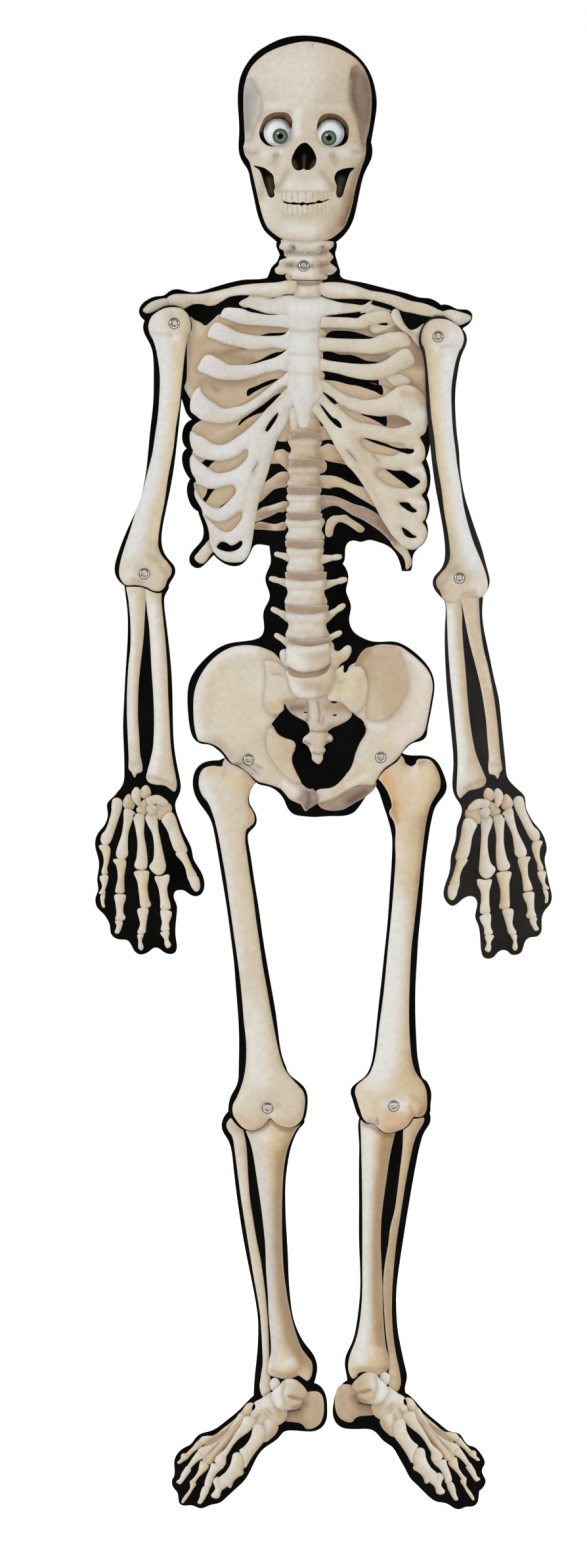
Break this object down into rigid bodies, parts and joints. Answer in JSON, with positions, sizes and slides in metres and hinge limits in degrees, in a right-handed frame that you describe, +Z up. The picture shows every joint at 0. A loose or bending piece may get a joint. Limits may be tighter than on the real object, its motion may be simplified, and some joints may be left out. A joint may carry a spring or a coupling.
{
  "type": "jointed skeleton cut-out figure",
  "caption": "Flat, life-size hanging skeleton figure for Halloween: printed, die-cut cards hinged at neck, shoulders, elbows, hips and knees by metal eyelets.",
  "frame": {"origin": "centre of the pin hole in the top of the head, at the head card's back face", "axes": "+Z up, from the feet to the head; the printed face looks along -Y; +X is to the viewer's right"},
  "size_m": [0.522, 0.0106, 1.6852],
  "materials": {
    "printed_board": "coated, semi-gloss print",
    "eyelet_metal": "nickel plated, slightly worn"
  },
  "bodies": {
    "head": {"head_card": "printed_board", "neck_eyelet": "eyelet_metal"},
    "torso": {"torso_card": "printed_board", "left_hip_eyelet": "eyelet_metal", "right_hip_eyelet": "eyelet_metal"},
    "left_upper_arm": {"left_upper_arm_card": "printed_board", "left_shoulder_eyelet": "eyelet_metal", "left_elbow_eyelet": "eyelet_metal"},
    "right_upper_arm": {"right_upper_arm_card": "printed_board", "right_shoulder_eyelet": "eyelet_metal", "right_elbow_eyelet": "eyelet_metal"},
    "left_forearm": {"left_forearm_card": "printed_board"},
    "right_forearm": {"right_forearm_card": "printed_board"},
    "left_thigh": {"left_thigh_card": "printed_board", "left_knee_eyelet": "eyelet_metal"},
    "right_thigh": {"right_thigh_card": "printed_board", "right_knee_eyelet": "eyelet_metal"},
    "left_shin": {"left_shin_card": "printed_board"},
    "right_shin": {"right_shin_card": "printed_board"}
  },
  "joints": [
    {"name": "neck", "type": "hinge", "parent": "head", "child": "torso", "pos_m": [-0.0125, 0, -0.2515], "axis": [0, 1, 0], "range_deg": [-60, 60]},
    {"name": "left_shoulder", "type": "hinge", "parent": "torso", "child": "left_upper_arm", "pos_m": [-0.1605, 0, -0.3175], "axis": [0, 1, 0], "range_deg": [-60, 170]},
    {"name": "right_shoulder", "type": "hinge", "parent": "torso", "child": "right_upper_arm", "pos_m": [0.141, 0, -0.3325], "axis": [0, 1, 0], "range_deg": [-170, 60]},
    {"name": "left_elbow", "type": "hinge", "parent": "left_upper_arm", "child": "left_forearm", "pos_m": [-0.1945, 0, -0.6035], "axis": [0, 1, 0], "range_deg": [-120, 120]},
    {"name": "right_elbow", "type": "hinge", "parent": "right_upper_arm", "child": "right_forearm", "pos_m": [0.1655, 0, -0.6085], "axis": [0, 1, 0], "range_deg": [-120, 120]},
    {"name": "left_hip", "type": "hinge", "parent": "torso", "child": "left_thigh", "pos_m": [-0.0755, 0, -0.816], "axis": [0, 1, 0], "range_deg": [-40, 90]},
    {"name": "right_hip", "type": "hinge", "parent": "torso", "child": "right_thigh", "pos_m": [0.0755, 0, -0.8135], "axis": [0, 1, 0], "range_deg": [-90, 40]},
    {"name": "left_knee", "type": "hinge", "parent": "left_thigh", "child": "left_shin", "pos_m": [-0.054, 0, -1.2145], "axis": [0, 1, 0], "range_deg": [-120, 120]},
    {"name": "right_knee", "type": "hinge", "parent": "right_thigh", "child": "right_shin", "pos_m": [0.0905, 0, -1.212], "axis": [0, 1, 0], "range_deg": [-120, 120]}
  ]
}
